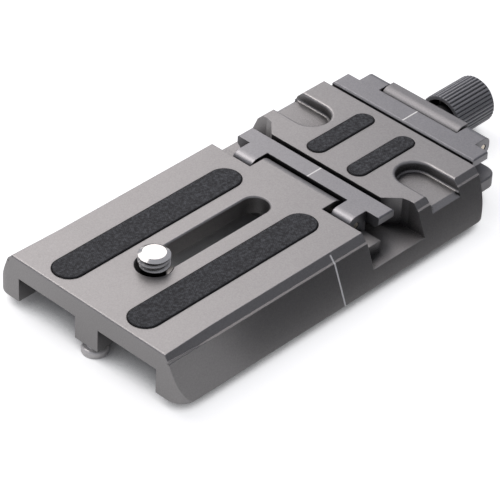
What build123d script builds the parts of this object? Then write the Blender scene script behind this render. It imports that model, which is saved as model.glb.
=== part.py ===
from build123d import *
from math import sqrt
import os

os.makedirs("parts", exist_ok=True)

# A dovetail quick release plate with two fold-up jaws, in millimetres.
# X runs from the plain front end to the knob, Z is up, and the origin is the
# middle of the front end at the level of the dovetail's feet. A longer body
# gets a longer front deck, and everything behind that deck moves with it.

# Body outline
body_length = 86.3
foot_half_width = 25.0
dovetail_lean = 0.4168
corner_radius = 3.6
deck_z = 9.9
deck_half_width = 20.0
ledge_z = 8.23
ledge_width = 0.15
bevel_runout = 12.0
bevel_front_share = 0.6
front_edge_radius = 0.4
clamp_length = 32.9
plate_end_x = body_length - clamp_length

# Underside
leg_inner_half = 18.35
underside_z = 0.34
recess_z = 5.4
recess_end_wall = 1.5
recess_end_x = plate_end_x - recess_end_wall
recess_corner_radius = 3.0
rib_half_width = 3.0
rib_length = 8.0

# Camera screw, its slot and its head track
screw_x = 17.5
slot_end_inset = 8.6
slot_end_x = plate_end_x - slot_end_inset
slot_width = 5.8
slot_edge_chamfer = 0.25
entry_hole_radius = 3.6
track_z = 6.0
track_clearance = 0.4
thread_radius = 3.175
screw_top_z = 13.5
screw_tip_chamfer = 0.5
neck_gap = 0.3
neck_clearance = 0.1
head_radius = 5.5
head_height = 2.6
head_edge_chamfer = 0.1
coin_slot_width = 1.6
coin_slot_depth = 1.1
washer_radius = 5.9
washer_thickness = 0.6
stack_clearance = 0.1
ring_wire_radius = 0.5
ring_side_gap = 0.2
ring_end_depth = 1.4

# Folding jaws and the well that the near one lies in
well_length = 11.45
clamp_front_x = plate_end_x + well_length
clamp_deck_z = 9.6
seat_z = 5.5
well_floor_z = 3.1
well_inner_half = 10.2
well_corner_y = 14.6
well_corner_cut = 3.0
well_corner_rise = 4.5
well_side_reach = 3.35
well_rear_x = clamp_front_x + well_side_reach
shelf_z = 5.8
shelf_length = 5.1
shelf_half_width = 20.6
jaw_top_z = 9.6
jaw_bottom_z = 7.0
jaw_half_length = 18.9
jaw_tip_bevel = 0.35
jaw_end_chamfer = 0.9
jaw_top_chamfer = 0.25
lip_z = 5.6
lip_half_length = 14.0
lip_width = 1.5
jaw_gap = 0.08
finger_outer_y = 15.55
finger_side_gap = 0.35
near_hinge_inset = 3.5
near_hinge_x = plate_end_x + near_hinge_inset
near_hinge_z = 7.3
near_finger_inner_y = 10.7
near_finger_front = 2.5
near_finger_top_radius = 2.3
near_finger_foot_radius = 1.25
near_finger_foot_z = 4.9
near_jaw_tip_gap = 0.9
near_jaw_tip_x = clamp_front_x - near_jaw_tip_gap
tongue_half_width = 9.6
far_hinge_overhang = 8.3
far_hinge_x = body_length + far_hinge_overhang
far_hinge_z = 7.5
far_finger_inner_y = 10.4
far_finger_radius = 1.9
far_finger_corner = 1.6
far_jaw_tip_gap = 1.05
far_jaw_tip_x = body_length + far_jaw_tip_gap
far_jaw_depth = 4.55
far_jaw_end_x = far_jaw_tip_x + far_jaw_depth
hinge_pin_radius = 0.75
running_clearance = 0.05
fixed_clearance = 0.02
pin_end_inset = 0.1

# Grip pads
pad_height = 1.05
pad_pocket_depth = 0.8
pad_clearance = 0.14
pad_edge_chamfer = 0.2
long_pad_front_x = 1.9
long_pad_rear_inset = 3.2
long_pad_rear_x = plate_end_x - long_pad_rear_inset
long_pad_width = 6.65
long_pad_y = 10.1
short_pad_front_inset = 1.5
short_pad_front_x = clamp_front_x + short_pad_front_inset
short_pad_rear_inset = 2.25
short_pad_rear_x = body_length - short_pad_rear_inset
short_pad_width = 4.3
short_pad_y = 5.4

# Finger recesses beside the clamp deck
finger_recess_front_inset = 14.6
finger_recess_front_x = body_length - finger_recess_front_inset
finger_recess_rear_inset = 6.4
finger_recess_rear_x = body_length - finger_recess_rear_inset
finger_recess_inner_y = 10.0
finger_recess_z = 7.3
finger_recess_edge_radius = 0.6
finger_recess_floor_radius = 0.5
finger_recess_sill_width = 0.8
finger_recess_sill_drop = 0.9

# Carriage, guide rods and draw screw
carriage_gap = 0.6
flange_half_width = 20.0
flange_top_z = 4.0
flange_bottom_z = 1.3
flange_corner_radius = 2.8
flange_edge_chamfer = 0.3
block_half_width = 10.0
block_rear_wall = 1.5
block_rear_x = far_hinge_x + block_rear_wall
knuckle_top_z = 9.9
draw_axis_z = 4.1
draw_thread_radius = 2.5
draw_journal_radius = 2.0
draw_tip_chamfer = 0.5
draw_reach = 13.8
draw_front_x = body_length - draw_reach
draw_shoulder_wall = 3.9
draw_shoulder_x = block_rear_x - draw_shoulder_wall
draw_bore_spare = 1.5
draw_bore_front_x = draw_front_x - draw_bore_spare
trough_clearance = 0.4
hub_radius = 2.8
hub_length = 7.1
hub_rear_x = block_rear_x + hub_length
guide_rod_radius = 1.5
guide_rod_y = 7.3
guide_rod_z = 2.8
guide_tip_chamfer = 0.3
guide_rod_reach = 12.3
guide_rod_front_x = body_length - guide_rod_reach
guide_rod_rear_inset = 1.7
guide_rod_rear_x = far_hinge_x - guide_rod_rear_inset
guide_bore_spare = 2.0
guide_bore_front_x = guide_rod_front_x - guide_bore_spare

# Knob
knob_front_gap = 3.8
knob_front_x = block_rear_x + knob_front_gap
knob_length = 11.6
knob_rear_x = knob_front_x + knob_length
knob_radius = 5.15
knob_recess_radius = 4.3
knob_rear_chamfer = 0.8
knob_front_chamfer = 0.15
flute_count = 38
flute_depth = 0.26
thrust_washer_thickness = 0.8
thrust_washer_radius = 3.6
washer_side_gap = 0.05
journal_end_wall = 1.6
set_screw_inset = 3.2
set_screw_x = knob_rear_x - set_screw_inset
set_screw_radius = 1.0
set_screw_length = 2.0
hex_socket_radius = 0.5
hex_socket_depth = 1.0

# Stop screws under the plate
front_stop_x = 2.3
rear_stop_inset = 1.65
rear_stop_x = clamp_front_x + rear_stop_inset
stop_disc_radius = 2.6
stop_disc_bottom_z = -2.4
stop_disc_height = 1.5
stop_disc_bevel = 0.4
stop_shank_radius = 1.5
stop_shank_top_z = 4.2
knurl_count = 24
knurl_depth = 0.15

# Sizes that follow from the ones above
edge_half_width = foot_half_width - dovetail_lean * deck_z
tongue_radius = deck_z - near_hinge_z
near_jaw_drop = near_hinge_z - jaw_bottom_z
near_bar_x = near_hinge_x + sqrt((tongue_radius + jaw_gap) ** 2 - near_jaw_drop ** 2)
knuckle_radius = knuckle_top_z - far_hinge_z
far_jaw_drop = far_hinge_z - jaw_bottom_z
far_bar_x = far_hinge_x - sqrt((knuckle_radius + jaw_gap) ** 2 - far_jaw_drop ** 2)
carriage_front_x = body_length + carriage_gap
neck_radius = slot_width / 2 - neck_gap
neck_top_z = deck_z + stack_clearance
washer_bottom_z = track_z - stack_clearance - washer_thickness
head_top_z = washer_bottom_z - stack_clearance
head_bottom_z = head_top_z - head_height
ring_z = (head_top_z + head_bottom_z) / 2
ring_radius = head_radius + ring_side_gap + ring_wire_radius
ring_end_y = head_radius - ring_end_depth + stack_clearance
finger_well_y = finger_outer_y + finger_side_gap
knob_seat_x = hub_rear_x + thrust_washer_thickness + 2 * washer_side_gap
journal_rear_x = knob_rear_x - journal_end_wall
finger_recess_round = (finger_recess_rear_x - finger_recess_front_x) / 2
finger_recess_x = (finger_recess_rear_x + finger_recess_front_x) / 2
finger_recess_y = finger_recess_inner_y + finger_recess_round
pick_margin = 0.01
sill_y = foot_half_width - dovetail_lean * finger_recess_z - finger_recess_sill_width
sill_z = finger_recess_z - finger_recess_sill_drop


def bevel_section(plane, side, share):
    """Section of the cut that bevels one deck edge, drawn across the body."""
    floor_z = deck_z - share * (deck_z - ledge_z)
    floor_y = foot_half_width - dovetail_lean * floor_z - ledge_width
    top_y = edge_half_width - share * (edge_half_width - deck_half_width)
    rise = deck_z - floor_z
    high_z = deck_z + rise
    high_y = 2 * top_y - floor_y
    with BuildSketch(plane) as section:
        with BuildLine():
            Polyline(
                (side * floor_y, floor_z),
                (side * high_y, high_z),
                (side * foot_half_width, high_z),
                (side * foot_half_width, floor_z),
                close=True,
            )
        make_face()
    return section.sketch


def pad_outline(front_x, rear_x, width, y, growth):
    """Long round-ended outline of a pad, or of its pocket with a growth."""
    with Locations(((front_x + rear_x) / 2, y)):
        SlotOverall(rear_x - front_x + 2 * growth, width + 2 * growth)


def recess_edges(body, height):
    """Edges of a body that lie level at a height beside the finger recesses."""
    level = body.edges().filter_by_position(Axis.Z, height - pick_margin, height + pick_margin)
    return level.filter_by_position(Axis.X, finger_recess_front_x, finger_recess_rear_x, (True, True))


pad_places = []
for side_name, side in (("left", 1), ("right", -1)):
    long_place = (long_pad_front_x, long_pad_rear_x, long_pad_width, side * long_pad_y)
    short_place = (short_pad_front_x, short_pad_rear_x, short_pad_width, side * short_pad_y)
    pad_places.append((f"long_pad_{side_name}", long_place, deck_z))
    pad_places.append((f"short_pad_{side_name}", short_place, clamp_deck_z))

# Base body: a milled dovetail bar
with BuildPart() as base_body:
    with BuildSketch(Plane.YZ):
        with BuildLine():
            Polyline(
                (foot_half_width, 0),
                (edge_half_width, deck_z),
                (-edge_half_width, deck_z),
                (-foot_half_width, 0),
                close=True,
            )
        make_face()
    extrude(amount=body_length)
    with BuildSketch(Plane.XY):
        with Locations((body_length / 2, 0)):
            RectangleRounded(body_length, 2 * foot_half_width, corner_radius)
    extrude(amount=deck_z, mode=Mode.INTERSECT)

    # The bevel along each deck edge thins out towards the front end
    for side in (1, -1):
        front_section = bevel_section(Plane.YZ, side, bevel_front_share)
        full_section = bevel_section(Plane.YZ.offset(bevel_runout), side, 1)
        loft([front_section, full_section], mode=Mode.SUBTRACT)
        extrude(full_section, amount=body_length - bevel_runout, mode=Mode.SUBTRACT)
    front_edge = base_body.edges().filter_by(Axis.Y).group_by(Axis.Z)[-1].sort_by(Axis.X)[0]
    fillet(front_edge, radius=front_edge_radius)

    # Underside: a shallow step between the legs, then the deep recess around a rib
    with BuildSketch(Plane.XY):
        with Locations((body_length / 2, 0)):
            Rectangle(body_length, 2 * leg_inner_half)
    extrude(amount=underside_z, mode=Mode.SUBTRACT)
    with BuildSketch(Plane.XY):
        with Locations((recess_end_x / 2 - recess_corner_radius, 0)):
            RectangleRounded(
                recess_end_x + 2 * recess_corner_radius,
                2 * leg_inner_half,
                recess_corner_radius,
            )
        with Locations((rib_length / 2 - rib_half_width, 0)):
            SlotOverall(
                rib_length + 2 * rib_half_width,
                2 * rib_half_width,
                mode=Mode.SUBTRACT,
            )
    extrude(amount=recess_z, mode=Mode.SUBTRACT)

    # Slot for the camera screw, with its entry hole and the track for the washer
    with BuildSketch(Plane.XY.offset(recess_z)):
        with Locations(((screw_x + slot_end_x) / 2, 0)):
            SlotCenterToCenter(slot_end_x - screw_x, 2 * (washer_radius + track_clearance))
    extrude(amount=track_z - recess_z, mode=Mode.SUBTRACT)
    with BuildSketch(Plane.XY.offset(track_z)):
        with Locations(((screw_x + slot_end_x) / 2, 0)):
            SlotCenterToCenter(slot_end_x - screw_x, slot_width)
        with Locations((screw_x, 0)):
            Circle(entry_hole_radius)
    extrude(amount=deck_z - track_z, mode=Mode.SUBTRACT)
    top_edges = base_body.edges().group_by(Axis.Z)[-1]
    slot_edges = top_edges.filter_by_position(Axis.Y, -entry_hole_radius, entry_hole_radius)
    slot_edges = slot_edges.filter_by_position(Axis.X, screw_x - entry_hole_radius, plate_end_x)
    chamfer(slot_edges, length=slot_edge_chamfer)

    # Clamp deck, a little lower than the front deck
    with BuildSketch(Plane.XY.offset(clamp_deck_z)):
        with Locations(((plate_end_x + body_length) / 2, 0)):
            Rectangle(body_length - plate_end_x, 2 * foot_half_width)
    extrude(amount=deck_z - clamp_deck_z, mode=Mode.SUBTRACT)

    # Well across the body for the near jaw, deeper and open at both sides
    with BuildSketch(Plane.XY.offset(seat_z)):
        with Locations(((plate_end_x + clamp_front_x) / 2, 0)):
            Rectangle(clamp_front_x - plate_end_x, 2 * well_inner_half)
    extrude(amount=deck_z - seat_z, mode=Mode.SUBTRACT)
    for side in (1, -1):
        with BuildSketch(Plane.XY.offset(well_floor_z)):
            with BuildLine():
                Polyline(
                    (plate_end_x, side * well_inner_half),
                    (clamp_front_x, side * well_inner_half),
                    (clamp_front_x, side * well_corner_y),
                    (clamp_front_x + well_corner_cut, side * (well_corner_y + well_corner_cut)),
                    (well_rear_x, side * (well_corner_y + well_corner_rise)),
                    (well_rear_x, side * foot_half_width),
                    (plate_end_x, side * foot_half_width),
                    close=True,
                )
            make_face()
        extrude(amount=deck_z - well_floor_z, mode=Mode.SUBTRACT)
        with BuildSketch(Plane.XY.offset(well_floor_z)):
            with Locations((plate_end_x, side * finger_well_y)):
                Rectangle(
                    shelf_length,
                    shelf_half_width - finger_well_y,
                    align=(Align.MIN, Align.MIN if side > 0 else Align.MAX),
                )
        extrude(amount=shelf_z - well_floor_z)

    # Tongue that carries the near hinge, round about the hinge axis
    with BuildSketch(Plane.XZ):
        with BuildLine():
            Polyline(
                (near_hinge_x, deck_z),
                (plate_end_x, deck_z),
                (plate_end_x, seat_z),
                (near_hinge_x + tongue_radius, seat_z),
                (near_hinge_x + tongue_radius, near_hinge_z),
            )
            CenterArc((near_hinge_x, near_hinge_z), tongue_radius, 0, 90)
        make_face()
    extrude(amount=tongue_half_width, both=True)
    with BuildSketch(Plane.XZ):
        with Locations((near_hinge_x, near_hinge_z)):
            Circle(hinge_pin_radius + running_clearance)
    extrude(amount=tongue_half_width, both=True, mode=Mode.SUBTRACT)

    # Finger recesses, open at the sides of the clamp deck, with a rounded rim and floor
    for side in (1, -1):
        with BuildSketch(Plane.XY.offset(finger_recess_z)):
            with Locations((finger_recess_x, side * (finger_recess_y + foot_half_width))):
                SlotCenterToCenter(2 * foot_half_width, 2 * finger_recess_round, rotation=90)
        extrude(amount=deck_z - finger_recess_z, mode=Mode.SUBTRACT)
    floor_edges = recess_edges(base_body, finger_recess_z)
    fillet(floor_edges.filter_by(lambda edge: abs(edge.center().Y) < sill_y), finger_recess_floor_radius)
    fillet(recess_edges(base_body, clamp_deck_z), finger_recess_edge_radius)
    for side in (1, -1):
        with BuildSketch(Plane.YZ.offset(finger_recess_front_x)):
            with BuildLine():
                Polyline(
                    (side * sill_y, finger_recess_z),
                    (side * (foot_half_width - dovetail_lean * sill_z), sill_z),
                    (side * foot_half_width, sill_z),
                    (side * foot_half_width, finger_recess_z),
                    close=True,
                )
            make_face()
        extrude(amount=finger_recess_rear_x - finger_recess_front_x, mode=Mode.SUBTRACT)

    # Pockets for the grip pads
    for pad_name, place, surface_z in pad_places:
        with BuildSketch(Plane.XY.offset(surface_z - pad_pocket_depth)):
            pad_outline(*place, pad_clearance)
        extrude(amount=pad_pocket_depth, mode=Mode.SUBTRACT)

    # Tapped bore for the draw screw and the bores of the guide rods
    with BuildSketch(Plane.YZ.offset(body_length)):
        with Locations((0, draw_axis_z)):
            Circle(draw_thread_radius + running_clearance)
    extrude(amount=draw_bore_front_x - body_length, mode=Mode.SUBTRACT)
    with BuildSketch(Plane.YZ.offset(body_length)):
        with Locations((guide_rod_y, guide_rod_z), (-guide_rod_y, guide_rod_z)):
            Circle(guide_rod_radius + running_clearance)
    extrude(amount=guide_bore_front_x - body_length, mode=Mode.SUBTRACT)

    # Tapped holes of the stop screws
    with BuildSketch(Plane.XY):
        with Locations((front_stop_x, 0), (rear_stop_x, 0)):
            Circle(stop_shank_radius + fixed_clearance)
    extrude(amount=stop_shank_top_z + stack_clearance, mode=Mode.SUBTRACT)

base_body.part.label = "base_body"
export_step(base_body.part, "parts/base_body.step")

# Near jaw: a T-shaped flap whose two fingers straddle the tongue
with BuildPart() as near_flap:
    with BuildSketch(Plane.XZ) as bar_section:
        with BuildLine():
            Polyline(
                (near_bar_x, jaw_top_z),
                (near_bar_x, jaw_bottom_z),
                (near_jaw_tip_x, jaw_bottom_z),
                (near_jaw_tip_x, jaw_top_z - jaw_tip_bevel),
                (near_jaw_tip_x - jaw_tip_bevel, jaw_top_z),
                close=True,
            )
        make_face()
    extrude(amount=jaw_half_length, both=True)
    jaw_ends = near_flap.edges().filter_by(Axis.X)
    chamfer(jaw_ends.group_by(Axis.Z)[0], length=jaw_end_chamfer)
    chamfer(near_flap.edges().filter_by(Axis.X).group_by(Axis.Z)[-1], length=jaw_top_chamfer)

    # The lip that hooks over a dovetail when the jaw stands up
    with BuildSketch(Plane.XZ):
        with BuildLine():
            Polyline(
                (near_jaw_tip_x, jaw_bottom_z),
                (near_jaw_tip_x, lip_z),
                (near_jaw_tip_x - lip_width, lip_z),
                (near_jaw_tip_x - lip_width - (jaw_bottom_z - lip_z), jaw_bottom_z),
                close=True,
            )
        make_face()
    extrude(amount=lip_half_length, both=True)

    # Fingers
    for side in (1, -1):
        with BuildSketch(Plane.XZ.offset(-side * near_finger_inner_y)) as finger:
            with BuildLine():
                Polyline(
                    (near_bar_x + jaw_gap, jaw_top_z),
                    (near_hinge_x - near_finger_front, jaw_top_z),
                    (near_hinge_x - near_finger_front, near_finger_foot_z),
                    (near_bar_x, near_finger_foot_z),
                    (near_bar_x, jaw_bottom_z),
                    (near_bar_x + jaw_gap, jaw_bottom_z),
                    close=True,
                )
            make_face()
            corners = finger.vertices().sort_by(Axis.X)[:2].sort_by(Axis.Y)
            fillet(corners[1], radius=near_finger_top_radius)
            fillet(corners[0], radius=near_finger_foot_radius)
        extrude(amount=-side * (finger_outer_y - near_finger_inner_y))
    with BuildSketch(Plane.XZ):
        with Locations((near_hinge_x, near_hinge_z)):
            Circle(hinge_pin_radius + fixed_clearance)
    extrude(amount=finger_outer_y, both=True, mode=Mode.SUBTRACT)

near_flap.part.label = "near_flap"
export_step(near_flap.part, "parts/near_flap.step")

# Far jaw: the same kind of flap, hinged on the carriage
with BuildPart() as far_flap:
    with BuildSketch(Plane.XZ):
        with BuildLine():
            Polyline(
                (far_bar_x, jaw_top_z),
                (far_bar_x, jaw_bottom_z),
                (far_jaw_tip_x, jaw_bottom_z),
                (far_jaw_tip_x, jaw_top_z - jaw_tip_bevel),
                (far_jaw_tip_x + jaw_tip_bevel, jaw_top_z),
                close=True,
            )
        make_face()
    extrude(amount=finger_outer_y, both=True)
    with BuildSketch(Plane.XZ):
        with BuildLine():
            Polyline(
                (far_jaw_end_x, jaw_top_z),
                (far_jaw_end_x, jaw_bottom_z),
                (far_jaw_tip_x, jaw_bottom_z),
                (far_jaw_tip_x, jaw_top_z - jaw_tip_bevel),
                (far_jaw_tip_x + jaw_tip_bevel, jaw_top_z),
                close=True,
            )
        make_face()
    extrude(amount=jaw_half_length, both=True)
    jaw_ends = far_flap.edges().filter_by(Axis.X).filter_by(
        lambda edge: abs(abs(edge.center().Y) - jaw_half_length) < pick_margin
    )
    chamfer(jaw_ends.group_by(Axis.Z)[0], length=jaw_end_chamfer)
    jaw_ends = far_flap.edges().filter_by(Axis.X).filter_by(
        lambda edge: abs(abs(edge.center().Y) - jaw_half_length) < pick_margin
    )
    chamfer(jaw_ends.group_by(Axis.Z)[-1], length=jaw_top_chamfer)

    # Its lip is cut away in the middle, where the draw screw passes
    with BuildSketch(Plane.XZ):
        with BuildLine():
            Polyline(
                (far_jaw_tip_x, jaw_bottom_z),
                (far_jaw_tip_x, lip_z),
                (far_jaw_tip_x + lip_width, lip_z),
                (far_jaw_tip_x + lip_width + (jaw_bottom_z - lip_z), jaw_bottom_z),
                close=True,
            )
        make_face()
    extrude(amount=lip_half_length, both=True)
    with BuildSketch(Plane.XZ):
        with Locations((far_jaw_tip_x, (lip_z + jaw_bottom_z) / 2)):
            Rectangle(2 * (far_bar_x - far_jaw_tip_x), jaw_bottom_z - lip_z)
    extrude(amount=draw_thread_radius + trough_clearance, both=True, mode=Mode.SUBTRACT)

    # Fingers, round about the hinge at the rear
    for side in (1, -1):
        with BuildSketch(Plane.XZ.offset(-side * far_finger_inner_y)) as finger:
            with BuildLine():
                Polyline(
                    (far_bar_x - jaw_gap, jaw_top_z),
                    (far_hinge_x + far_finger_radius, jaw_top_z),
                    (far_hinge_x + far_finger_radius, far_hinge_z - far_finger_radius),
                    (far_hinge_x, far_hinge_z - far_finger_radius),
                    (far_bar_x, jaw_bottom_z),
                    (far_bar_x - jaw_gap, jaw_bottom_z),
                    close=True,
                )
            make_face()
            rear_corners = finger.vertices().sort_by(Axis.X)[-2:]
            fillet(rear_corners, radius=far_finger_corner)
        extrude(amount=-side * (finger_outer_y - far_finger_inner_y))
    with BuildSketch(Plane.XZ):
        with Locations((far_hinge_x, far_hinge_z)):
            Circle(hinge_pin_radius + fixed_clearance)
    extrude(amount=finger_outer_y, both=True, mode=Mode.SUBTRACT)

far_flap.part.label = "far_flap"
export_step(far_flap.part, "parts/far_flap.step")

# Hinge pins, held in the fingers
for pin_name, hinge_x, hinge_z in (
    ("near_hinge_pin", near_hinge_x, near_hinge_z),
    ("far_hinge_pin", far_hinge_x, far_hinge_z),
):
    with BuildPart() as hinge_pin:
        with BuildSketch(Plane.XZ):
            with Locations((hinge_x, hinge_z)):
                Circle(hinge_pin_radius)
        extrude(amount=finger_outer_y - pin_end_inset, both=True)
        chamfer(hinge_pin.edges().filter_by(GeomType.CIRCLE), length=pin_end_inset)
    hinge_pin.part.label = pin_name
    export_step(hinge_pin.part, f"parts/{pin_name}.step")

# Carriage: a flange that slides behind the body, with the far hinge's knuckle and the hub
with BuildPart() as carriage:
    with BuildSketch(Plane.XY.offset(flange_bottom_z)) as flange:
        with Locations(((carriage_front_x + far_hinge_x) / 2, 0)):
            Rectangle(far_hinge_x - carriage_front_x, 2 * flange_half_width)
        fillet(flange.vertices().group_by(Axis.X)[-1], radius=flange_corner_radius)
    extrude(amount=flange_top_z - flange_bottom_z)
    chamfer(carriage.edges().group_by(Axis.Z)[-1], length=flange_edge_chamfer)
    with BuildSketch(Plane.XZ):
        with BuildLine():
            Polyline(
                (far_hinge_x, knuckle_top_z),
                (block_rear_x, knuckle_top_z),
                (block_rear_x, underside_z),
                (carriage_front_x, underside_z),
                (carriage_front_x, seat_z),
                (far_hinge_x - knuckle_radius, seat_z),
                (far_hinge_x - knuckle_radius, far_hinge_z),
            )
            CenterArc((far_hinge_x, far_hinge_z), knuckle_radius, 90, 90)
        make_face()
    extrude(amount=block_half_width, both=True)
    with BuildSketch(Plane.YZ.offset(block_rear_x)):
        with Locations((0, draw_axis_z)):
            Circle(hub_radius)
    extrude(amount=hub_rear_x - block_rear_x)
    with BuildSketch(Plane.YZ.offset(carriage_front_x)):
        with Locations((0, draw_axis_z)):
            Circle(draw_thread_radius + trough_clearance)
    extrude(amount=draw_shoulder_x - carriage_front_x, mode=Mode.SUBTRACT)
    with BuildSketch(Plane.YZ.offset(carriage_front_x)):
        with Locations((0, draw_axis_z)):
            Circle(draw_journal_radius + running_clearance)
    extrude(amount=hub_rear_x - carriage_front_x, mode=Mode.SUBTRACT)
    with BuildSketch(Plane.YZ.offset(carriage_front_x)):
        with Locations((guide_rod_y, guide_rod_z), (-guide_rod_y, guide_rod_z)):
            Circle(guide_rod_radius + fixed_clearance)
    extrude(amount=guide_rod_rear_x + stack_clearance - carriage_front_x, mode=Mode.SUBTRACT)
    with BuildSketch(Plane.XZ):
        with Locations((far_hinge_x, far_hinge_z)):
            Circle(hinge_pin_radius + running_clearance)
    extrude(amount=block_half_width, both=True, mode=Mode.SUBTRACT)

carriage.part.label = "carriage"
export_step(carriage.part, "parts/carriage.step")

# Guide rods, fixed in the carriage and sliding in the body
for side_name, side in (("left", 1), ("right", -1)):
    with BuildPart() as guide_rod:
        with BuildSketch(Plane.YZ.offset(guide_rod_front_x)):
            with Locations((side * guide_rod_y, guide_rod_z)):
                Circle(guide_rod_radius)
        extrude(amount=guide_rod_rear_x - guide_rod_front_x)
        chamfer(guide_rod.edges().group_by(Axis.X)[0], length=guide_tip_chamfer)
    guide_rod.part.label = f"guide_rod_{side_name}"
    export_step(guide_rod.part, f"parts/guide_rod_{side_name}.step")

# Draw screw: the thread in the body pulls the carriage by the shoulder and the knob
with BuildPart() as draw_screw:
    with BuildSketch(Plane.YZ.offset(draw_front_x)):
        with Locations((0, draw_axis_z)):
            Circle(draw_thread_radius)
    extrude(amount=draw_shoulder_x - washer_side_gap - draw_front_x)
    chamfer(draw_screw.edges().group_by(Axis.X)[0], length=draw_tip_chamfer)
    with BuildSketch(Plane.YZ.offset(draw_front_x)):
        with Locations((0, draw_axis_z)):
            Circle(draw_journal_radius)
    extrude(amount=journal_rear_x - draw_front_x)

draw_screw.part.label = "draw_screw"
export_step(draw_screw.part, "parts/draw_screw.step")

# Thrust washer between the hub and the knob
with BuildPart() as thrust_washer:
    with BuildSketch(Plane.YZ.offset(hub_rear_x + washer_side_gap)):
        with Locations((0, draw_axis_z)):
            Circle(thrust_washer_radius)
            Circle(draw_journal_radius + running_clearance, mode=Mode.SUBTRACT)
    extrude(amount=thrust_washer_thickness)

thrust_washer.part.label = "thrust_washer"
export_step(thrust_washer.part, "parts/thrust_washer.step")

# Knob: fluted rim, hollow at the front where the hub enters it
with BuildPart() as knob:
    with BuildSketch(Plane.YZ.offset(knob_front_x)):
        with Locations((0, draw_axis_z)):
            Circle(knob_radius)
    extrude(amount=knob_rear_x - knob_front_x)
    chamfer(knob.edges().group_by(Axis.X)[-1], length=knob_rear_chamfer)
    chamfer(knob.edges().group_by(Axis.X)[0], length=knob_front_chamfer)
    with BuildSketch(Plane.YZ.offset(knob_front_x)):
        with Locations((0, draw_axis_z)):
            with PolarLocations(knob_radius, flute_count):
                RegularPolygon(flute_depth, 4)
    extrude(amount=knob_rear_x - knob_front_x, mode=Mode.SUBTRACT)
    with BuildSketch(Plane.YZ.offset(knob_front_x)):
        with Locations((0, draw_axis_z)):
            Circle(knob_recess_radius)
    extrude(amount=knob_seat_x - knob_front_x, mode=Mode.SUBTRACT)
    with BuildSketch(Plane.YZ.offset(knob_front_x)):
        with Locations((0, draw_axis_z)):
            Circle(draw_journal_radius + fixed_clearance)
    extrude(amount=journal_rear_x + stack_clearance - knob_front_x, mode=Mode.SUBTRACT)
    with BuildSketch(Plane.XY.offset(draw_axis_z)):
        with Locations((set_screw_x, 0)):
            Circle(set_screw_radius + fixed_clearance)
    extrude(amount=-knob_radius, mode=Mode.SUBTRACT)

knob.part.label = "knob"
export_step(knob.part, "parts/knob.step")

# Set screw that holds the knob on the journal
with BuildPart() as knob_set_screw:
    with BuildSketch(Plane.XY.offset(draw_axis_z - draw_journal_radius - fixed_clearance)):
        with Locations((set_screw_x, 0)):
            Circle(set_screw_radius)
    extrude(amount=-set_screw_length)
    with BuildSketch(Plane.XY.offset(draw_axis_z - draw_journal_radius - set_screw_length)):
        with Locations((set_screw_x, 0)):
            RegularPolygon(hex_socket_radius, 6)
    extrude(amount=hex_socket_depth, mode=Mode.SUBTRACT)

knob_set_screw.part.label = "knob_set_screw"
export_step(knob_set_screw.part, "parts/knob_set_screw.step")

# Camera screw: thread above the deck, a neck in the slot and a coin-slotted head below
with BuildPart() as camera_screw:
    with BuildSketch(Plane.XY.offset(head_bottom_z)):
        with Locations((screw_x, 0)):
            Circle(head_radius)
    extrude(amount=head_height)
    chamfer(camera_screw.edges().filter_by(GeomType.CIRCLE), length=head_edge_chamfer)
    with BuildSketch(Plane.XY.offset(head_top_z)):
        with Locations((screw_x, 0)):
            Circle(neck_radius)
    extrude(amount=screw_top_z - head_top_z)
    with BuildSketch(Plane.XY.offset(neck_top_z)):
        with Locations((screw_x, 0)):
            Circle(thread_radius)
    extrude(amount=screw_top_z - neck_top_z)
    chamfer(camera_screw.edges().group_by(Axis.Z)[-1], length=screw_tip_chamfer)
    with BuildSketch(Plane.XY.offset(head_bottom_z)):
        with Locations((screw_x, 0)):
            Rectangle(2 * head_radius, coin_slot_width)
    extrude(amount=coin_slot_depth, mode=Mode.SUBTRACT)
    for side in (1, -1):
        with BuildSketch(Plane.XZ.offset(-side * head_radius)):
            with Locations((screw_x, ring_z)):
                Circle(ring_wire_radius + running_clearance)
        extrude(amount=side * ring_end_depth, mode=Mode.SUBTRACT)

camera_screw.part.label = "camera_screw"
export_step(camera_screw.part, "parts/camera_screw.step")

# Washer under the deck, which slides along the track with the screw
with BuildPart() as screw_washer:
    with BuildSketch(Plane.XY.offset(washer_bottom_z)):
        with Locations((screw_x, 0)):
            Circle(washer_radius)
            Circle(neck_radius + neck_clearance, mode=Mode.SUBTRACT)
    extrude(amount=washer_thickness)

screw_washer.part.label = "screw_washer"
export_step(screw_washer.part, "parts/screw_washer.step")

# Bail ring that folds against the head and turns the screw by hand
with BuildPart() as bail_ring:
    with BuildSketch(Plane.YZ.offset(screw_x)):
        with Locations((ring_radius, ring_z)):
            Circle(ring_wire_radius)
    revolve(axis=Axis((screw_x, 0, 0), (0, 0, 1)), revolution_arc=180)
    for side in (1, -1):
        with BuildSketch(Plane.XZ.offset(-side * ring_end_y)):
            with Locations((screw_x, ring_z)):
                Circle(ring_wire_radius)
        extrude(amount=-side * (ring_radius - ring_end_y))
        with Locations((screw_x, side * ring_radius, ring_z)):
            Sphere(ring_wire_radius)

bail_ring.part.label = "bail_ring"
export_step(bail_ring.part, "parts/bail_ring.step")

# Grip pads
for pad_name, place, surface_z in pad_places:
    with BuildPart() as pad:
        with BuildSketch(Plane.XY.offset(surface_z - pad_pocket_depth)):
            pad_outline(*place, 0)
        extrude(amount=pad_height)
        chamfer(pad.edges().group_by(Axis.Z)[-1], length=pad_edge_chamfer)
    pad.part.label = pad_name
    export_step(pad.part, f"parts/{pad_name}.step")

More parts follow.
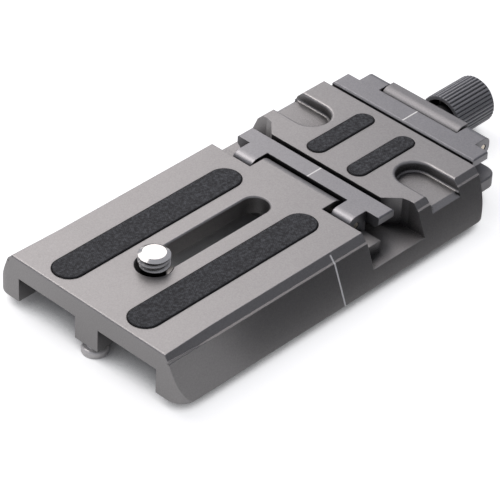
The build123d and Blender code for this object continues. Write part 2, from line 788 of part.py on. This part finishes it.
# Stop screws: knurled discs that keep the plate from sliding out of its clamp
with BuildPart() as stop_screws:
    with BuildSketch(Plane.XY.offset(stop_disc_bottom_z)):
        with Locations((front_stop_x, 0), (rear_stop_x, 0)):
            Circle(stop_disc_radius)
    extrude(amount=stop_disc_height)
    chamfer(stop_screws.edges().group_by(Axis.Z)[-1], length=stop_disc_bevel)
    with BuildSketch(Plane.XY.offset(stop_disc_bottom_z)):
        with Locations((front_stop_x, 0), (rear_stop_x, 0)):
            with PolarLocations(stop_disc_radius, knurl_count):
                RegularPolygon(knurl_depth, 4)
    extrude(amount=stop_disc_height, mode=Mode.SUBTRACT)
    with BuildSketch(Plane.XY.offset(stop_disc_bottom_z)):
        with Locations((front_stop_x, 0), (rear_stop_x, 0)):
            Circle(stop_shank_radius)
    extrude(amount=stop_shank_top_z - stop_disc_bottom_z)

stop_screws.part.label = "stop_screws"
export_step(stop_screws.part, "parts/stop_screws.step")
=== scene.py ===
import bmesh
import bpy
from math import cos, pi, radians, sin
from mathutils import Matrix, Vector


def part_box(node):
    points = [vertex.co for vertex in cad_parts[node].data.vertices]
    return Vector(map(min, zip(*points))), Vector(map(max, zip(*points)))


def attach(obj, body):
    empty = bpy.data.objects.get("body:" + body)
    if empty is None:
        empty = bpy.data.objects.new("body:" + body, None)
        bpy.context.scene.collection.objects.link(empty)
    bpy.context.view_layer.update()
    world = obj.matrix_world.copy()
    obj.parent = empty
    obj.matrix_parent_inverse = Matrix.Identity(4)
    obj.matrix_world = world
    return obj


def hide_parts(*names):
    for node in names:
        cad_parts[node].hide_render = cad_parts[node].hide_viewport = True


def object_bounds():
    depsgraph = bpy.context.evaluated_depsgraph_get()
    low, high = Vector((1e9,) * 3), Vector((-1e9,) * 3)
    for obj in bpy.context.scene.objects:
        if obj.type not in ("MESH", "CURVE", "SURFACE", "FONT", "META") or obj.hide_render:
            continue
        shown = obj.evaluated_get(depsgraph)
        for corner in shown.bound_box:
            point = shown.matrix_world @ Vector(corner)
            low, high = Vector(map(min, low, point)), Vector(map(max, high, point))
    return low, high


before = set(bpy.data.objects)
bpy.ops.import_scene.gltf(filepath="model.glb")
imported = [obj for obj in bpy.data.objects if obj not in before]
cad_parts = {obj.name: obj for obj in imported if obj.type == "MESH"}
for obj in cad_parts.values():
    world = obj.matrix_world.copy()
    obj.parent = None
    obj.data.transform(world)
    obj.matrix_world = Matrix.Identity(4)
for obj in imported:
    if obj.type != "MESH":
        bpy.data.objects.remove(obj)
cad_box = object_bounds()
MM = 0.001

# Camera, worked out from the straight edges of the plate in the photograph
CAMERA_PLACE = Vector((-309.3, -319.8, 361.4)) * MM
CAMERA_AZIMUTH = radians(42.15)
CAMERA_ELEVATION = radians(37.21)
CAMERA_ROLL = radians(2.87)
CAMERA_LENS = 221.7
CAMERA_SENSOR = 36
CAMERA_NEAR = 0.01
CAMERA_FAR = 20

# White index lines down the dovetail faces and across the jaws
SIDE_LINE_X = 44.2 * MM
SIDE_LINE_WIDTH = 0.38 * MM
SIDE_LINE_Y = 20.3 * MM
JAW_LINE_WIDTH = 0.34 * MM
JAW_LINE_Z = 9.55 * MM
LINE_COLOUR = (0.90, 0.89, 0.85)

# Ledge at the top of both dovetail faces: it catches the light along its length
LEDGE_Z = 8.33 * MM
LEDGE_HALF = 0.13 * MM
LEDGE_Y = 21.0 * MM

# Anodised aluminium: blasted grain, broad patches, edges slightly round, and painted shade that
# darkens gaps and pockets
GRAIN_SCALE = 3600
GRAIN_DETAIL = 3.0
GRAIN_CRISPNESS = 0.65
GRAIN_SHADE = 0.30
PATCH_SCALE = 90
PATCH_SHADE = 0.05
DARKEST_SHARE = 0.50
LIGHTEST_SHARE = 1.50
ROUGHNESS_SPREAD = 0.06
SOFT_EDGE = 0.20 * MM
# Painted shade darkens narrow gaps between parts and the piece's own pockets
GAP_SHADE_REACH = 2.2 * MM
GAP_SHADE_OPENNESS = (0.25, 0.92)
POCKET_SHADE_REACH = 6.0 * MM
POCKET_SHADE_OPENNESS = (0.56, 0.82)

# Grip strips: a fuzzy weave that turns into a smooth rim, whose near-black colour is painted shade
# of the gap round the strip
WEAVE_PITCH = 0.55 * MM
WEAVE_SHARE = 0.18
FUZZ_SCALE = 1500
FUZZ_DETAIL = 4.0
FUZZ_CRISPNESS = 0.8
FUZZ_MIDDLE = 0.46
FUZZ_CONTRAST = 5.0
FUZZ_DEPTH = 0.10 * MM
FUZZ_EDGE = 0.3 * MM
RUBBER_DARK = (0.003, 0.003, 0.004)
RUBBER_PALE = (0.105, 0.110, 0.118)
RUBBER_ROUGHNESS = (0.60, 0.85)
RIM_SHADE_COLOUR = (0.006, 0.006, 0.007)
RIM_RADIUS = 0.45 * MM
RIM_TILT = 0.80
RIM_CONTRAST = 6.0

# Turned steel and brass
TOOL_MARK_SCALE = 4200
TOOL_MARK_DEPTH = 0.004 * MM
TOOL_MARK_GLOSS = 0.05
TURNED_PATCH_SCALE = 420
TURNED_DARK_SHARE = 0.82
TURNED_EDGE = 0.08 * MM
# Painted shade in the narrow grooves of a thread
GROOVE_SHADE_OPENNESS = (0.55, 0.95)
GROOVE_SHADE_COLOUR = (0.02, 0.02, 0.02)

# Stop screws, whose discs have fine ribs round the rim
STOP_SHANK_RADIUS = 1.5 * MM
STOP_DISC_HEIGHT = 1.5 * MM
STOP_DISC_SINK = 0.1 * MM
STOP_EDGE = 0.25 * MM
STOP_EDGE_TURN = 0.07 * MM
STOP_BEVEL_HEIGHT = 0.45 * MM
STOP_BEVEL_WIDTH = 0.4 * MM
STOP_RIBS = 48
STOP_RIB_DEPTH = 0.035 * MM
STOP_DISC_STEPS = 192
STOP_SHANK_STEPS = 32

# Camera screw: a quarter of an inch, twenty turns to the inch, with a rounded tip
THREAD_PITCH = 1.27 * MM
THREAD_DEPTH = 0.62 * MM
THREAD_CREST = 3.175 * MM
THREAD_CREST_SHARE = 0.12
THREAD_FLANK_SHARE = 0.76
THREAD_LENGTH = 3.5 * MM
THREAD_FADE = 0.5 * MM
NECK_RADIUS = 2.6 * MM
NECK_SPREAD = 2.0
TIP_DROP = 0.55 * MM
TIP_CHAMFER = 0.85 * MM
TIP_SLOPE = 1.7
THREAD_STEPS = 72
THREAD_ROWS = 120
PICK_MARGIN = 0.01 * MM

# Studio: white table, dim room, and a dark side past the near edge of the plate
FLOOR_REACH = 3.0
FLOOR_COLOUR = (0.62, 0.62, 0.62)
FLOOR_GLOW = 0.72
FLOOR_SHEEN = 0.30
# Painted shadow: the table's glow fades under and close beside the plate
FLOOR_SHADE_REACH = 20 * MM
FLOOR_SHADOW_OPENNESS = (0.16, 0.53)
FLOOR_SAMPLES = 12
ROOM_COLOUR = (0.94, 0.96, 1.08)
ROOM_LIGHT = 0.40
ROOM_DARK = 0.03
DARK_SIDE = Vector((0.61, -0.78, -0.08))
DARK_SIDE_EDGE = (0.66, 0.95)
PANEL_COLOUR = (1.0, 0.945, 0.935)

# Black card beside the plate
CARD_COLOUR = (0.02, 0.02, 0.02)
CARD_NEAR_X = 0.028
CARD_FAR_X = 0.45
CARD_Y = -0.040
CARD_TOP_Z = 0.013


def make_camera():
    """Camera at the photograph's viewing angle."""
    look = Vector((
        cos(CAMERA_ELEVATION) * cos(CAMERA_AZIMUTH),
        cos(CAMERA_ELEVATION) * sin(CAMERA_AZIMUTH),
        -sin(CAMERA_ELEVATION),
    ))
    level = Vector((sin(CAMERA_AZIMUTH), -cos(CAMERA_AZIMUTH), 0))
    upright = level.cross(look)
    right = cos(CAMERA_ROLL) * level + sin(CAMERA_ROLL) * upright
    up = -sin(CAMERA_ROLL) * level + cos(CAMERA_ROLL) * upright
    data = bpy.data.cameras.new("camera")
    data.lens = CAMERA_LENS
    data.sensor_width = CAMERA_SENSOR
    data.sensor_fit = "HORIZONTAL"
    data.clip_start = CAMERA_NEAR
    data.clip_end = CAMERA_FAR
    camera = bpy.data.objects.new("camera", data)
    bpy.context.scene.collection.objects.link(camera)
    axes = Matrix((right, up, -look)).transposed().to_4x4()
    camera.matrix_world = Matrix.Translation(CAMERA_PLACE) @ axes
    bpy.context.scene.camera = camera


def of_kind(sockets, kind):
    """The sockets that carry that kind of value."""
    return [socket for socket in sockets if socket.type == kind]


class Nodes:
    """Short helper for writing a node tree."""

    def __init__(self, owner):
        owner.use_nodes = True
        self.tree = owner.node_tree
        self.tree.nodes.clear()

    def add(self, kind, **settings):
        node = self.tree.nodes.new("ShaderNode" + kind)
        for name, value in settings.items():
            setattr(node, name, value)
        return node

    def link(self, source, target):
        self.tree.links.new(source, target)

    def end(self, shader, kind="OutputMaterial"):
        """Puts a shader on the surface."""
        output = self.add(kind)
        self.link(shader.outputs[0], output.inputs["Surface"])

    def math(self, operation, first, second=None, clamp=False):
        node = self.add("Math", operation=operation, use_clamp=clamp)
        for socket, value in zip(node.inputs, (first, second)):
            if value is None:
                continue
            if isinstance(value, (int, float)):
                socket.default_value = value
            else:
                self.link(value, socket)
        return node.outputs[0]

    def within(self, value, middle, half_width):
        """1 where value is within half_width of middle."""
        node = self.add("Math", operation="COMPARE")
        self.link(value, node.inputs[0])
        node.inputs[1].default_value = middle
        node.inputs[2].default_value = half_width
        return node.outputs[0]

    def facing(self, vector, direction):
        """How far a vector points in that direction: 1 along it and 0 across it."""
        node = self.add("VectorMath", operation="DOT_PRODUCT")
        self.link(vector, node.inputs[0])
        node.inputs[1].default_value = direction
        return node.outputs["Value"]

    def noise(self, vector, scale, detail=2.0, roughness=0.5):
        node = self.add("TexNoise")
        self.link(vector, node.inputs["Vector"])
        node.inputs["Scale"].default_value = scale
        node.inputs["Detail"].default_value = detail
        node.inputs["Roughness"].default_value = roughness
        return node.outputs["Fac"]

    def spread(self, value, low, high):
        """value from 0..1 to low..high."""
        node = self.add("MapRange")
        self.link(value, node.inputs["Value"])
        node.inputs["To Min"].default_value = low
        node.inputs["To Max"].default_value = high
        return node.outputs["Result"]

    def ramp(self, value, low, high, first=0.0, second=1.0):
        """Smooth change from first to second while value goes from low to high."""
        node = self.add("MapRange", interpolation_type="SMOOTHSTEP")
        self.link(value, node.inputs["Value"])
        node.inputs["From Min"].default_value = low
        node.inputs["From Max"].default_value = high
        node.inputs["To Min"].default_value = first
        node.inputs["To Max"].default_value = second
        return node.outputs["Result"]

    def blend(self, factor, first, second):
        """Colour first where factor is 0 and second where it is 1."""
        node = self.add("Mix", data_type="RGBA")
        self.link(factor, node.inputs["Factor"])
        for socket, value in zip(of_kind(node.inputs, "RGBA"), (first, second)):
            if isinstance(value, tuple):
                socket.default_value = (*value, 1)
            else:
                self.link(value, socket)
        return of_kind(node.outputs, "RGBA")[0]

    def surface(self, metallic):
        """The shader that ends the tree."""
        shader = self.add("BsdfPrincipled")
        shader.inputs["Metallic"].default_value = metallic
        self.end(shader)
        return shader

    def matt(self, colour):
        """Plain diffuse shader of one colour."""
        shader = self.add("BsdfDiffuse")
        shader.inputs["Color"].default_value = (*colour, 1)
        return shader

    def place(self):
        """Position in the row frame and its three parts."""
        place = self.add("TexCoord").outputs["Object"]
        split = self.add("SeparateXYZ")
        self.link(place, split.inputs[0])
        return place, split.outputs

    def openness(self, reach, shut, clear, samples=4, alone=False):
        """Mask for painted shade: 1 in the open and 0 in gaps narrower than reach, of the piece
        alone or of all pieces.
        """
        shade = self.add("AmbientOcclusion", samples=samples, only_local=alone)
        shade.inputs["Distance"].default_value = reach
        return self.ramp(shade.outputs["AO"], shut, clear)

    def soft_normal(self, radius, samples=4):
        """Normal of the surface with its edges rounded."""
        node = self.add("Bevel", samples=samples)
        node.inputs["Radius"].default_value = radius
        return node.outputs[0]

    def relief(self, height, distance, edge_radius, upward=None):
        """Bump of that height in metres on softened edges, facing up where upward is 1."""
        normal = self.soft_normal(edge_radius)
        if upward:
            turned = self.add("Mix", data_type="VECTOR")
            self.link(upward, turned.inputs["Factor"])
            start, end = of_kind(turned.inputs, "VECTOR")[-2:]
            self.link(normal, start)
            end.default_value = (0, 0, 1)
            normal = of_kind(turned.outputs, "VECTOR")[0]
        bump = self.add("Bump")
        bump.inputs["Distance"].default_value = distance
        self.link(height, bump.inputs["Height"])
        self.link(normal, bump.inputs["Normal"])
        return bump.outputs[0]


def shaded(colour, share):
    """The colour made darker or lighter, and never above 1."""
    return tuple(min(1.0, share * part) for part in colour)


def anodised(name, colour, roughness, grain, marks=None, ledge=None, metallic=0.85, pocket_shade_share=0.10):
    """Bead-blasted anodised aluminium with painted shade in its gaps and pockets, and optional
    white marks.
    """
    material = bpy.data.materials.new(name)
    nodes = Nodes(material)
    place, axes = nodes.place()
    fine = nodes.noise(place, GRAIN_SCALE, GRAIN_DETAIL, GRAIN_CRISPNESS)
    broad = nodes.noise(place, PATCH_SCALE)
    fine_shade = nodes.spread(fine, -GRAIN_SHADE, GRAIN_SHADE)
    broad_shade = nodes.spread(broad, -PATCH_SHADE, PATCH_SHADE)
    shade = nodes.math("ADD", nodes.math("ADD", fine_shade, broad_shade), 0.5, clamp=True)
    tone = nodes.blend(shade, shaded(colour, DARKEST_SHARE), shaded(colour, LIGHTEST_SHARE))
    # Painted shade: the tone falls towards a small share of the colour in narrow gaps between
    # parts and in the piece's own pockets
    gaps = nodes.openness(GAP_SHADE_REACH, *GAP_SHADE_OPENNESS)
    pockets = nodes.openness(POCKET_SHADE_REACH, *POCKET_SHADE_OPENNESS, alone=True)
    tone = nodes.blend(nodes.math("MULTIPLY", gaps, pockets), shaded(colour, pocket_shade_share), tone)
    rough = nodes.spread(fine, roughness - ROUGHNESS_SPREAD, roughness + ROUGHNESS_SPREAD)
    shader = nodes.surface(metallic)
    if marks:
        mask = marks(nodes, axes)
        tone = nodes.blend(mask, tone, LINE_COLOUR)
        metal = nodes.math("SUBTRACT", metallic, nodes.math("MULTIPLY", mask, metallic))
        nodes.link(metal, shader.inputs["Metallic"])
    upward = ledge(nodes, axes) if ledge else None
    nodes.link(tone, shader.inputs["Base Color"])
    nodes.link(rough, shader.inputs["Roughness"])
    nodes.link(nodes.relief(fine, grain, SOFT_EDGE, upward), shader.inputs["Normal"])
    return material


def side_index(nodes, axes):
    """White line down both dovetail faces."""
    along = nodes.within(axes["X"], SIDE_LINE_X, SIDE_LINE_WIDTH / 2)
    side = nodes.math("GREATER_THAN", nodes.math("ABSOLUTE", axes["Y"]), SIDE_LINE_Y)
    return nodes.math("MULTIPLY", along, side)


def ledge_line(nodes, axes):
    """Narrow ledge at the top of both dovetail faces."""
    high = nodes.within(axes["Z"], LEDGE_Z, LEDGE_HALF)
    side = nodes.math("GREATER_THAN", nodes.math("ABSOLUTE", axes["Y"]), LEDGE_Y)
    return nodes.math("MULTIPLY", high, side)


def jaw_index(nodes, axes):
    """White centre line across the top of a jaw."""
    across = nodes.within(axes["Y"], 0, JAW_LINE_WIDTH / 2)
    top = nodes.math("GREATER_THAN", axes["Z"], JAW_LINE_Z)
    return nodes.math("MULTIPLY", across, top)


def grip_rubber():
    """Black rubber strip with a fuzzy woven face and a smooth rim painted dark as the shade of the
    gap round it.
    """
    material = bpy.data.materials.new("grip_rubber")
    nodes = Nodes(material)
    place, axes = nodes.place()
    threads = []
    for operation in ("ADD", "SUBTRACT"):
        across = nodes.math(operation, axes["X"], axes["Y"])
        threads.append(nodes.math("SINE", nodes.math("MULTIPLY", across, 2 * pi / WEAVE_PITCH)))
    weave = nodes.math("MULTIPLY", *threads)
    fuzz = nodes.noise(place, FUZZ_SCALE, FUZZ_DETAIL, FUZZ_CRISPNESS)
    height = nodes.math("ADD", nodes.math("MULTIPLY", weave, WEAVE_SHARE), fuzz)
    raised = nodes.math("SUBTRACT", height, FUZZ_MIDDLE)
    level = nodes.math("MULTIPLY", raised, FUZZ_CONTRAST, clamp=True)
    tone = nodes.blend(level, RUBBER_DARK, RUBBER_PALE)
    # Painted shade: where the strip's edge rounds away from upright it goes near-black, for the
    # gap round the strip
    upright = nodes.facing(nodes.soft_normal(RIM_RADIUS, samples=6), (0, 0, 1))
    inside = nodes.math("SUBTRACT", upright, RIM_TILT)
    flat = nodes.math("MULTIPLY", inside, RIM_CONTRAST, clamp=True)
    tone = nodes.blend(flat, RIM_SHADE_COLOUR, tone)
    shader = nodes.surface(0.0)
    nodes.link(tone, shader.inputs["Base Color"])
    nodes.link(nodes.spread(fuzz, *RUBBER_ROUGHNESS), shader.inputs["Roughness"])
    nodes.link(nodes.relief(height, FUZZ_DEPTH, FUZZ_EDGE), shader.inputs["Normal"])
    return material


def turned_metal(name, colour, roughness, metallic=1.0, grooves=0.0):
    """Turned steel or brass with fine tool marks, and painted shade in grooves narrower than
    grooves.
    """
    material = bpy.data.materials.new(name)
    nodes = Nodes(material)
    place = nodes.place()[0]
    fine = nodes.noise(place, TOOL_MARK_SCALE)
    patch = nodes.noise(place, TURNED_PATCH_SCALE)
    tone = nodes.blend(patch, shaded(colour, TURNED_DARK_SHARE), colour)
    if grooves:
        # Painted shade: narrow grooves go near-black
        tone = nodes.blend(nodes.openness(grooves, *GROOVE_SHADE_OPENNESS), GROOVE_SHADE_COLOUR, tone)
    rough = nodes.spread(fine, roughness - TOOL_MARK_GLOSS, roughness + TOOL_MARK_GLOSS)
    shader = nodes.surface(metallic)
    nodes.link(tone, shader.inputs["Base Color"])
    nodes.link(rough, shader.inputs["Roughness"])
    nodes.link(nodes.relief(fine, TOOL_MARK_DEPTH, TURNED_EDGE), shader.inputs["Normal"])
    return material


def around(centre, radius, angle, height):
    """Point at that radius and angle about the upright axis through centre."""
    return centre.x + radius * cos(angle), centre.y + radius * sin(angle), height


def join_rings(mesh, rings):
    """Faces between each ring of vertices and the next."""
    for low, high in zip(rings, rings[1:]):
        for step in range(len(low)):
            after = (step + 1) % len(low)
            mesh.faces.new((low[step], low[after], high[after], high[step]))


def lathe(mesh, outline, centre, steps, ribs=0, rib_depth=0.0):
    """Adds a closed surface turned about centre from (radius, height) pairs, with fine ribs."""
    rings = []
    for radius, height in outline:
        ring = []
        for step in range(steps):
            angle = 2 * pi * step / steps
            reach = radius - rib_depth * (0.5 - 0.5 * cos(ribs * angle))
            ring.append(mesh.verts.new(around(centre, reach, angle, height)))
        rings.append(ring)
    join_rings(mesh, rings)
    mesh.faces.new(list(reversed(rings[0])))
    mesh.faces.new(rings[-1])


def finish_mesh(name, mesh, crease, node, body):
    """Object from a mesh, in place of a CAD node, that rides on a body."""
    data = bpy.data.meshes.new(name)
    mesh.to_mesh(data)
    mesh.free()
    data.shade_smooth()
    data.set_sharp_from_angle(angle=radians(crease))
    piece = bpy.data.objects.new(name, data)
    bpy.context.scene.collection.objects.link(piece)
    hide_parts(node)
    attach(piece, body)


def make_stop_discs():
    """The two stop screws with smooth, finely ribbed discs."""
    low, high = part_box("stop_screws")
    radius = (high.y - low.y) / 2
    top = low.z + STOP_DISC_HEIGHT
    disc = [
        (radius - STOP_EDGE, low.z),
        (radius - STOP_EDGE_TURN, low.z + STOP_EDGE_TURN),
        (radius, low.z + STOP_EDGE),
        (radius, top - STOP_BEVEL_HEIGHT),
        (radius - STOP_EDGE_TURN, top - STOP_EDGE),
        (radius - STOP_BEVEL_WIDTH, top),
    ]
    shank = [(STOP_SHANK_RADIUS, top - STOP_DISC_SINK), (STOP_SHANK_RADIUS, high.z)]
    mesh = bmesh.new()
    for x in (low.x + radius, high.x - radius):
        centre = Vector((x, 0, 0))
        lathe(mesh, disc, centre, STOP_DISC_STEPS, STOP_RIBS, STOP_RIB_DEPTH)
        lathe(mesh, shank, centre, STOP_SHANK_STEPS)
    finish_mesh(
        "stop_discs", mesh, crease=40, node="stop_screws", body="base")


def thread_radius(height, turn, bottom, top):
    """Radius of the camera screw's thread at that height and share of a turn."""
    phase = ((height - bottom) / THREAD_PITCH - turn) % 1.0
    flank = (abs(2 * phase - 1) - THREAD_CREST_SHARE) / THREAD_FLANK_SHARE
    depth = THREAD_DEPTH * min(1.0, max(0.0, flank))
    fade = min(1.0, max(0.0, (top - height - THREAD_FADE) / THREAD_FADE))
    tip = THREAD_CREST - TIP_CHAMFER + TIP_SLOPE * (top - height)
    foot = NECK_RADIUS + NECK_SPREAD * (height - bottom)
    return min(THREAD_CREST - fade * depth, tip, foot)


def make_threaded_screw():
    """The camera screw with its real thread, on the head and neck of the plain solid."""
    low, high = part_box("camera_screw")
    centre = Vector(((low.x + high.x) / 2, 0, 0))
    bottom = high.z - THREAD_LENGTH
    top = high.z - TIP_DROP
    solid = bpy.data.objects["camera_screw"]
    mesh = bmesh.new()
    mesh.from_mesh(solid.data)
    mesh.transform(solid.matrix_world)
    plain = [
        face for face in mesh.faces
        if all(vertex.co.z > bottom - PICK_MARGIN for vertex in face.verts)
    ]
    bmesh.ops.delete(mesh, geom=plain, context="FACES")
    rings = []
    for row in range(THREAD_ROWS + 1):
        height = bottom + (top - bottom) * row / THREAD_ROWS
        ring = []
        for step in range(THREAD_STEPS):
            turn = step / THREAD_STEPS
            radius = thread_radius(height, turn, bottom, top)
            ring.append(mesh.verts.new(around(centre, radius, 2 * pi * turn, height)))
        rings.append(ring)
    join_rings(mesh, rings)
    cap = [mesh.verts.new((vertex.co.x, vertex.co.y, top)) for vertex in rings[-1]]
    mesh.faces.new(cap)
    finish_mesh(
        "threaded_screw", mesh, crease=35, node="camera_screw",
        body="fixing_screw")


def give(names, material):
    """Puts a material on CAD nodes or pieces."""
    for name in names:
        piece = bpy.data.objects[name]
        piece.data.materials.clear()
        piece.data.materials.append(material)


def soft_panel(name, place, target, width, height, radiance):
    """Rectangular lamp that shines on target with that surface brightness."""
    data = bpy.data.lights.new(name, "AREA")
    data.shape = "RECTANGLE"
    data.size = width
    data.size_y = height
    data.energy = radiance * pi * width * height
    data.color = PANEL_COLOUR
    lamp = bpy.data.objects.new(name, data)
    bpy.context.scene.collection.objects.link(lamp)
    lamp.location = place
    lamp.rotation_euler = (Vector(target) - Vector(place)).to_track_quat("-Z", "Y").to_euler()
    lamp.visible_camera = False


def seen_plainly(nodes, camera, glossy):
    """Strength for what the camera sees and for what metal and glass show."""
    path = nodes.add("LightPath").outputs
    shown = nodes.math("MULTIPLY", path["Is Glossy Ray"], glossy)
    straight = nodes.math("MAXIMUM", path["Is Camera Ray"], path["Is Transmission Ray"])
    return nodes.math("MAXIMUM", nodes.math("MULTIPLY", straight, camera), shown)


def flat_card(name, corners, material):
    """Flat piece of the studio, which isn't part of the object."""
    data = bpy.data.meshes.new(name)
    data.from_pydata(corners, [], [(0, 1, 2, 3)])
    data.materials.append(material)
    card = bpy.data.objects.new(name, data)
    bpy.context.scene.collection.objects.link(card)
    return card


def make_floor():
    """White table, kept white for the camera and in reflections, with a painted shadow where its
    glow fades under and beside the plate.
    """
    material = bpy.data.materials.new("white_table")
    nodes = Nodes(material)
    glow = nodes.add("Emission")
    shine = seen_plainly(nodes, FLOOR_GLOW, FLOOR_SHEEN)
    # Painted shadow: the glow fades where the plate hangs over or stands close to the table
    outside_painted_shadow = nodes.openness(FLOOR_SHADE_REACH, *FLOOR_SHADOW_OPENNESS, FLOOR_SAMPLES)
    nodes.link(nodes.math("MULTIPLY", shine, outside_painted_shadow), glow.inputs["Strength"])
    both = nodes.add("AddShader")
    nodes.link(nodes.matt(FLOOR_COLOUR).outputs[0], both.inputs[0])
    nodes.link(glow.outputs[0], both.inputs[1])
    nodes.end(both)
    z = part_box("stop_screws")[0].z
    ends = ((-1, -1), (1, -1), (1, 1), (-1, 1))
    flat_card("floor", [(x * FLOOR_REACH, y * FLOOR_REACH, z) for x, y in ends], material)


def make_flag():
    """Black card beside the plate, which only its polished reflections show."""
    material = bpy.data.materials.new("black_card")
    nodes = Nodes(material)
    nodes.end(nodes.matt(CARD_COLOUR))
    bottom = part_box("stop_screws")[0].z
    card = flat_card("flag", [
        (CARD_NEAR_X, CARD_Y, bottom),
        (CARD_FAR_X, CARD_Y, bottom),
        (CARD_FAR_X, CARD_Y, CARD_TOP_Z),
        (CARD_NEAR_X, CARD_Y, CARD_TOP_Z),
    ], material)
    card.visible_camera = False
    card.visible_diffuse = False
    card.visible_shadow = False


def make_world():
    """Studio room, darker past the near side and white where the camera looks at it."""
    world = bpy.data.worlds.new("studio")
    bpy.context.scene.world = world
    nodes = Nodes(world)
    towards = nodes.facing(nodes.add("TexCoord").outputs["Generated"], DARK_SIDE)
    room = nodes.ramp(towards, *DARK_SIDE_EDGE, ROOM_LIGHT, ROOM_DARK)
    seen = nodes.add("LightPath").outputs["Is Camera Ray"]
    back = nodes.add("Background")
    nodes.link(nodes.blend(seen, ROOM_COLOUR, (1.0, 1.0, 1.0)), back.inputs["Color"])
    nodes.link(nodes.math("MAXIMUM", seen, room), back.inputs["Strength"])
    nodes.end(back, "OutputWorld")


make_camera()
make_floor()
make_flag()
make_world()
middle = (cad_box[0] + cad_box[1]) / 2
soft_panel(
    "back_panel", place=(0.14, 0.27, 0.29), target=middle, width=0.42, height=0.36, radiance=1.34)
soft_panel(
    "top_panel", place=(-0.08, 0.52, 0.82), target=middle, width=0.5, height=0.5, radiance=2.3)

make_threaded_screw()
make_stop_discs()
body_anodised = anodised(
    "body_anodised", colour=(0.36, 0.350, 0.342), roughness=0.40, grain=0.004 * MM,
    marks=side_index, ledge=ledge_line)
jaw_anodised = anodised(
    "jaw_anodised", colour=(0.315, 0.312, 0.318), roughness=0.38, grain=0.003 * MM,
    marks=jaw_index)
carriage_anodised = anodised(
    "carriage_anodised", colour=(0.29, 0.285, 0.285), roughness=0.50, grain=0.003 * MM)
knob_anodised = anodised(
    "knob_anodised", colour=(0.32, 0.32, 0.325), roughness=0.36, grain=0.003 * MM,
    metallic=0.5, pocket_shade_share=0.05)
turned_steel = turned_metal("turned_steel", colour=(0.58, 0.555, 0.52), roughness=0.30)
# Polished steel of the camera screw, with painted shade in its thread grooves
polished_steel = turned_metal(
    "polished_steel", colour=(0.88, 0.86, 0.82), roughness=0.17, grooves=1.2 * MM)
bright_steel = turned_metal(
    "bright_steel", colour=(0.95, 0.92, 0.88), roughness=0.30, metallic=0.3)
pin_brass = turned_metal("pin_brass", colour=(0.88, 0.80, 0.66), roughness=0.25)
give(["base_body"], body_anodised)
give(["near_flap", "far_flap"], jaw_anodised)
give(["carriage"], carriage_anodised)
give(["knob"], knob_anodised)
give(["long_pad_left", "long_pad_right", "short_pad_left", "short_pad_right"], grip_rubber())
give(["screw_washer", "bail_ring", "draw_screw", "knob_set_screw"], turned_steel)
give(["thrust_washer", "guide_rod_left", "guide_rod_right"], turned_steel)
give(["threaded_screw"], polished_steel)
give(["stop_discs"], bright_steel)
give(["near_hinge_pin", "far_hinge_pin"], pin_brass)

bpy.context.scene.view_settings.view_transform = "Standard"
